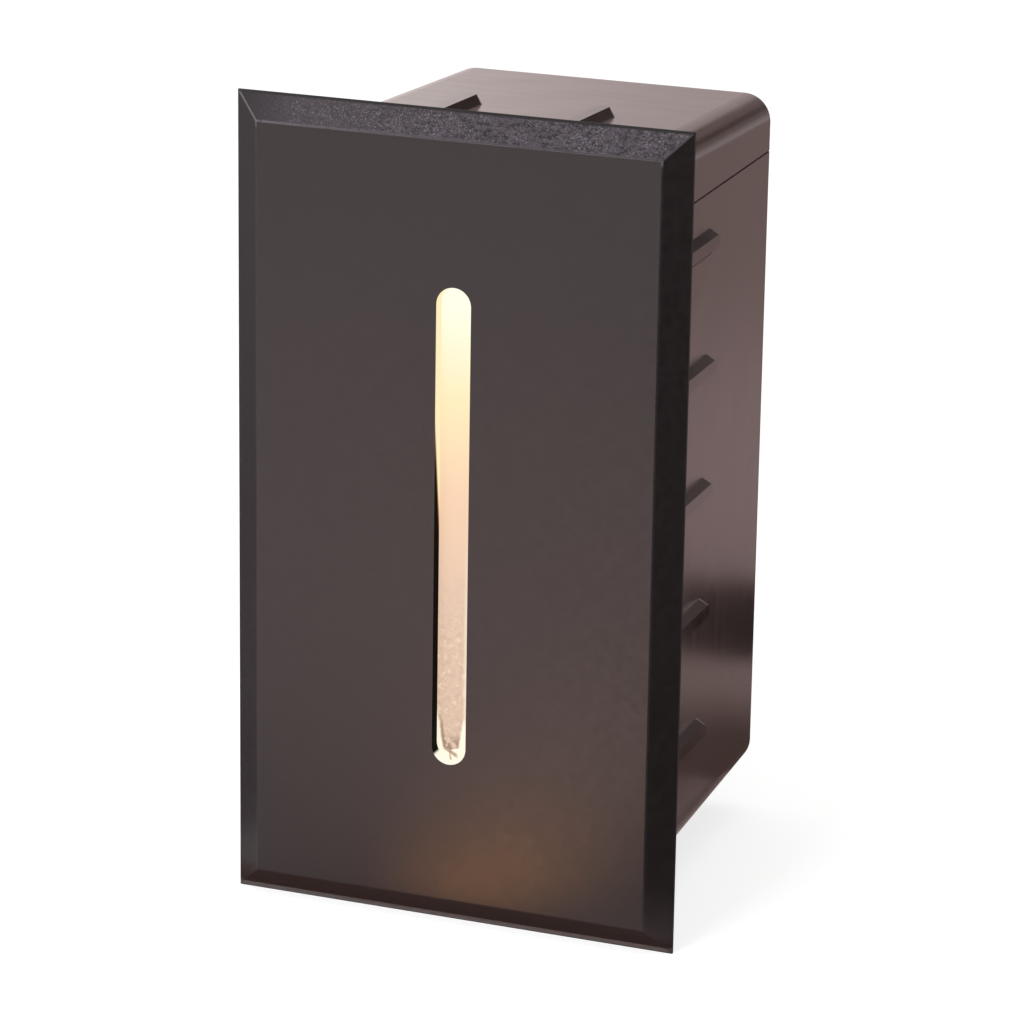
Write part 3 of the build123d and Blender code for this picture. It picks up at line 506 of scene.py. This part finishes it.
def copper_wire():
    """Enamelled winding: turns side by side round the core."""
    color = (0.62, 0.24, 0.09)
    made = Finish("copper_wire", color, 0.3, Metallic=0.85, Coat_Weight=0.6)
    turns = made.node("ShaderNodeTexWave", wave_type="BANDS", bands_direction="Y")
    turns.inputs["Scale"].default_value = 0.9
    made.link(made.place, turns.inputs["Vector"])
    made.color(made.color_between(turns.outputs["Fac"], shade(color, 0.55), shade(color, 1.15)))
    made.bump(turns.outputs["Fac"], 0.12)
    return made


def silicone():
    """Grey silicone that lets a little light in."""
    made = moulded("seal_silicone", (0.52, 0.52, 0.5), 0.5, grain=5.0)
    made.set("Subsurface Weight", 0.2)
    made.set("Subsurface Scale", 0.5 * MM)
    return made


FINISHES = {
    "plate_coat": plate_coat,
    "housing_plastic": housing_plastic,
    "window_frosted": window_frosted,
    "seal_foam": lambda: rubbery("seal_foam", (0.028, 0.028, 0.028), 4.0),
    "seal_silicone": silicone,
    "black_plastic": lambda: moulded("black_plastic", (0.022, 0.022, 0.024), 0.5),
    "spring_steel": lambda: metal("spring_steel", (0.62, 0.61, 0.59), 0.28, (8.0, 1.0, 1.0)),
    "screw_zinc": lambda: metal("screw_zinc", (0.66, 0.66, 0.67), 0.3, (3.0, 3.0, 3.0)),
    "chassis_steel": lambda: metal("chassis_steel", (0.56, 0.57, 0.58), 0.36, (6.0, 1.0, 0.4)),
    "white_plastic": lambda: moulded("white_plastic", (0.82, 0.80, 0.75), 0.45, spread=0.03),
    "circuit_white": lambda: circuit("circuit_white", (0.80, 0.80, 0.78), (0.66, 0.66, 0.64)),
    "led_phosphor": led_phosphor,
    "pad_grey": lambda: rubbery("pad_grey", (0.40, 0.42, 0.47), 5.0),
    "sink_aluminium": lambda: metal("sink_aluminium", (0.63, 0.64, 0.65), 0.34, (1.0, 0.3, 6.0)),
    "grommet_rubber": lambda: rubbery("grommet_rubber", (0.024, 0.024, 0.024), 6.0),
    "wire_white": lambda: moulded("wire_white", (0.72, 0.70, 0.66), 0.35),
    "wire_black": lambda: moulded("wire_black", (0.028, 0.028, 0.028), 0.35),
    "driver_plastic": lambda: moulded("driver_plastic", (0.74, 0.73, 0.70), 0.48, spread=0.04),
    "circuit_green": lambda: circuit("circuit_green", (0.02, 0.16, 0.07), (0.05, 0.28, 0.13)),
    "header_plastic": lambda: moulded("header_plastic", (0.78, 0.76, 0.68), 0.5),
    "ferrite": lambda: moulded("ferrite", (0.07, 0.07, 0.075), 0.6, grain=4.0, depth=0.02),
    "copper_wire": copper_wire,
    "capacitor_sleeve": lambda: moulded("capacitor_sleeve", (0.03, 0.035, 0.07), 0.3),
    "chip_epoxy": lambda: moulded("chip_epoxy", (0.024, 0.024, 0.024), 0.55, grain=5.0, depth=0.01),
    "terminal_plastic": lambda: moulded("terminal_plastic", (0.38, 0.39, 0.40), 0.35, spread=0.05),
    "contact_brass": lambda: metal("contact_brass", (0.72, 0.56, 0.28), 0.26, (1.0, 4.0, 1.0)),
    "lever_orange": lambda: moulded("lever_orange", (0.82, 0.24, 0.03), 0.34, spread=0.05),
    "gland_nylon": lambda: moulded("gland_nylon", (0.034, 0.034, 0.036), 0.44, grain=4.0, depth=0.012),
}


def dress_nodes():
    """Gives every node of the model the finish that the record names for it."""
    made = {}
    for part in frame["record"]["subparts"]:
        slot = part["material_slot"]
        if slot not in made:
            made[slot] = FINISHES[slot]().material
        piece = nodes[part["node"]]
        piece.data.materials.clear()
        piece.data.materials.append(made[slot])


# ---- studio, in metres ----
ambient = 0.38
floor_albedo = 0.42
floor_lift = 0.74           # what the floor adds for the camera and for reflections, up to white
floor_reach = 6.0
object_middle = Vector((0.0, 0.03, 0.0))
floor_level = cad_box[0].z

# Soft lights: place, size, and how bright each makes a white surface that faces it.
SOFTBOXES = {
    "top_light": ((-0.1, 0.15, 0.95), (0.9, 0.9), 0.42),
    "key_light": ((-0.20, -0.66, 0.68), (0.35, 0.35), 0.50),
    "fill_light": ((0.85, 0.15, 0.45), (0.6, 0.6), 0.12),
}

# Coloured cards that only reflections see. Those on the floor: middle, layer, size, colour, and how far out
# the full colour reaches, as a share of the half size. Higher layers cover lower ones.
card_layer = 0.0001
FLOOR_CARDS = {
    # mirrored in the plate's face and its bevels
    "pale_front": ((-0.06, -0.22), 2, (0.84, 0.56), (2.02, 1.54, 1.57), 0.35),
    "warm_front": ((0.018, -0.105), 3, (0.20, 0.30), (2.75, 1.95, 1.74), 0.15),
    "grey_foot_left": ((-0.052, -0.055), 4, (0.10, 0.11), (1.25, 1.00, 1.02), 0.1),
    "grey_foot": ((0.0, -0.020), 5, (0.14, 0.07), (1.05, 0.82, 0.80), 0.3),
    "grey_left": ((-0.355, -0.015), 6, (0.60, 0.24), (0.34, 0.27, 0.33), 0.7),
    "grey_left_low": ((-0.090, -0.003), 7, (0.12, 0.065), (0.24, 0.19, 0.23), 0.4),
    "amber_front": ((0.0, -0.026), 8, (0.044, 0.056), (5.0, 2.45, 1.2), 0.1),
    "dark_right": ((0.32, -0.28), 6, (0.70, 0.70), (0.012, 0.010, 0.011), 0.7),
    "dark_right_near": ((0.081, -0.047), 9, (0.14, 0.13), (0.05, 0.03, 0.03), 0.7),
    "dark_below": ((-0.002, -0.001), 10, (0.09, 0.014), (0.34, 0.20, 0.18), 0.8),
    # mirrored in the housing's right side
    "taupe_behind_right": ((0.22, 0.40), 1, (0.72, 1.14), (0.475, 0.335, 0.320), 0.75),
    "pool_behind_right": ((0.085, 0.255), 4, (0.15, 0.40), (0.69, 0.50, 0.49), 0.1),
    "dark_under_right": ((0.038, 0.070), 6, (0.07, 0.10), (0.13, 0.08, 0.07), 0.4),
    "dark_spot": ((0.054, 0.150), 8, (0.060, 0.052), (0.004, 0.004, 0.004), 0.75),
    # behind the object
    "dark_behind": ((-0.02, 0.24), 6, (0.09, 0.30), (0.02, 0.015, 0.015), 0.8),
}

# Cards that stand round the object and face it: place, size, colour, and the same share.
STANDING_CARDS = {
    "grey_flag_left": ((-0.80, -0.05, 0.10), (0.70, 0.50), (0.25, 0.20, 0.24), 0.7),
    "dark_flag_right": ((0.46, -0.44, 0.06), (0.60, 0.36), (0.012, 0.010, 0.011), 0.75),
    "dark_top_ribs": ((0.112, 0.35, 0.118), (0.05, 0.06), (0.01, 0.008, 0.008), 0.8),
    "dark_side_ribs": ((0.040, 0.35, 0.182), (0.055, 0.062), (0.01, 0.008, 0.008), 0.8),
    "mid_corner": ((0.20, 0.62, 0.25), (0.46, 0.56), (0.30, 0.22, 0.215), 0.55),
    "pale_behind_left": ((-0.42, 0.60, 0.18), (0.56, 0.60), (1.50, 1.34, 1.30), 0.35),
    "grey_behind": ((0.0, 0.80, 0.20), (1.30, 0.70), (0.80, 0.66, 0.66), 0.8),
}


def seen_directly(tree):
    """1 for camera, glossy and transmission rays, else 0."""
    path = tree.nodes.new("ShaderNodeLightPath")
    total = path.outputs["Is Camera Ray"]
    for name in ("Is Glossy Ray", "Is Transmission Ray"):
        larger = tree.nodes.new("ShaderNodeMath")
        larger.operation = "MAXIMUM"
        tree.links.new(total, larger.inputs[0])
        tree.links.new(path.outputs[name], larger.inputs[1])
        total = larger.outputs[0]
    return total


def make_world():
    world = bpy.data.worlds.new("studio")
    bpy.context.scene.world = world
    world.use_nodes = True
    tree = world.node_tree
    plain = tree.nodes["Background"]
    plain.inputs["Color"].default_value = (1.0, 0.985, 0.965, 1.0)
    plain.inputs["Strength"].default_value = ambient
    white = tree.nodes.new("ShaderNodeBackground")
    white.inputs["Strength"].default_value = 1.0
    mix = tree.nodes.new("ShaderNodeMixShader")
    tree.links.new(seen_directly(tree), mix.inputs["Fac"])
    tree.links.new(plain.outputs[0], mix.inputs[1])
    tree.links.new(white.outputs[0], mix.inputs[2])
    tree.links.new(mix.outputs[0], tree.nodes["World Output"].inputs["Surface"])


def flat_object(name, half_width, half_height):
    """Flat four-cornered object round its own origin."""
    mesh = bpy.data.meshes.new(name)
    corners = [(-half_width, -half_height, 0), (half_width, -half_height, 0)]
    corners += [(half_width, half_height, 0), (-half_width, half_height, 0)]
    mesh.from_pydata(corners, [], [(0, 1, 2, 3)])
    made = bpy.data.objects.new(name, mesh)
    bpy.context.scene.collection.objects.link(made)
    material = bpy.data.materials.new(name)
    material.use_nodes = True
    mesh.materials.append(material)
    return made, material.node_tree


def make_floor():
    floor, tree = flat_object("floor", floor_reach, floor_reach)
    floor.location.z = floor_level
    shader = tree.nodes["Principled BSDF"]
    shader.inputs["Base Color"].default_value = (floor_albedo, floor_albedo, floor_albedo, 1.0)
    shader.inputs["Roughness"].default_value = 1.0
    shader.inputs["Specular IOR Level"].default_value = 0.0
    shader.inputs["Emission Color"].default_value = (1.0, 1.0, 1.0, 1.0)
    lift = tree.nodes.new("ShaderNodeMath")
    lift.operation = "MULTIPLY"
    lift.inputs[1].default_value = floor_lift
    tree.links.new(seen_directly(tree), lift.inputs[0])
    tree.links.new(lift.outputs[0], shader.inputs["Emission Strength"])


def softbox(name, place, size, level):
    """Area light aimed at the object; level is how bright it makes a white surface that faces it."""
    data = bpy.data.lights.new(name, "AREA")
    data.shape = "RECTANGLE"
    data.size, data.size_y = size
    lamp = bpy.data.objects.new(name, data)
    bpy.context.scene.collection.objects.link(lamp)
    lamp.location = place
    away = object_middle - lamp.location
    lamp.rotation_euler = away.to_track_quat("-Z", "Y").to_euler()
    data.energy = level * math.pi ** 2 * away.length_squared
    lamp.visible_camera = False


def card(name, place, size, color, core, facing=None):
    """Coloured card with soft edges that only reflections see; it lies flat unless it faces a point."""
    half_width, half_height = size[0] / 2, size[1] / 2
    made, tree = flat_object(name, half_width, half_height)
    made.location = place
    if facing is not None:
        made.rotation_euler = (facing - made.location).to_track_quat("Z", "Y").to_euler()
    tree.nodes.remove(tree.nodes["Principled BSDF"])
    spot = tree.nodes.new("ShaderNodeTexCoord")
    scale = tree.nodes.new("ShaderNodeMapping")
    scale.inputs["Scale"].default_value = (1 / half_width, 1 / half_height, 1.0)
    fall = tree.nodes.new("ShaderNodeTexGradient")
    fall.gradient_type = "SPHERICAL"
    soft = tree.nodes.new("ShaderNodeMapRange")
    soft.interpolation_type = "SMOOTHSTEP"
    soft.inputs["From Max"].default_value = 1 - core
    glow = tree.nodes.new("ShaderNodeEmission")
    glow.inputs["Color"].default_value = (*color, 1.0)
    clear = tree.nodes.new("ShaderNodeBsdfTransparent")
    mix = tree.nodes.new("ShaderNodeMixShader")
    for source, target in (
        (spot.outputs["Object"], scale.inputs["Vector"]),
        (scale.outputs["Vector"], fall.inputs["Vector"]),
        (fall.outputs["Fac"], soft.inputs["Value"]),
        (soft.outputs["Result"], mix.inputs["Fac"]),
        (clear.outputs[0], mix.inputs[1]),
        (glow.outputs[0], mix.inputs[2]),
        (mix.outputs[0], tree.nodes["Material Output"].inputs["Surface"]),
    ):
        tree.links.new(source, target)
    made.visible_camera = False
    made.visible_diffuse = False
    made.visible_shadow = False
    made.visible_transmission = False


def make_studio():
    make_world()
    make_floor()
    for name, (place, size, level) in SOFTBOXES.items():
        softbox(name, place, size, level)
    for name, (middle, layer, size, color, core) in FLOOR_CARDS.items():
        card(name, (*middle, floor_level + layer * card_layer), size, color, core)
    for name, (place, size, color, core) in STANDING_CARDS.items():
        card(name, place, size, color, core, object_middle)


# ---- camera ----
# The photograph's own viewpoint: distance, direction and focal length fitted to the plate and the housing.
camera_place = Vector((227.26, -576.86, 195.10)) * MM
camera_forward = Vector((-0.3392, 0.8927, -0.2968))
camera_up = Vector((-0.1201, 0.2718, 0.9548))
camera_lens = 156.49        # millimetres on a 36 mm sensor
camera_sensor = 36.0


def make_camera():
    data = bpy.data.cameras.new("camera")
    data.lens = camera_lens
    data.sensor_width = camera_sensor
    data.clip_start = 0.01
    data.clip_end = 50.0
    camera = bpy.data.objects.new("camera", data)
    bpy.context.scene.collection.objects.link(camera)
    back = -camera_forward.normalized()
    right = camera_up.cross(back).normalized()
    up = back.cross(right)
    turn = Matrix((right, up, back)).transposed()
    camera.matrix_world = Matrix.Translation(camera_place) @ turn.to_4x4()
    bpy.context.scene.camera = camera


make_camera()
make_studio()
dress_nodes()
bpy.context.scene.view_settings.view_transform = "Standard"
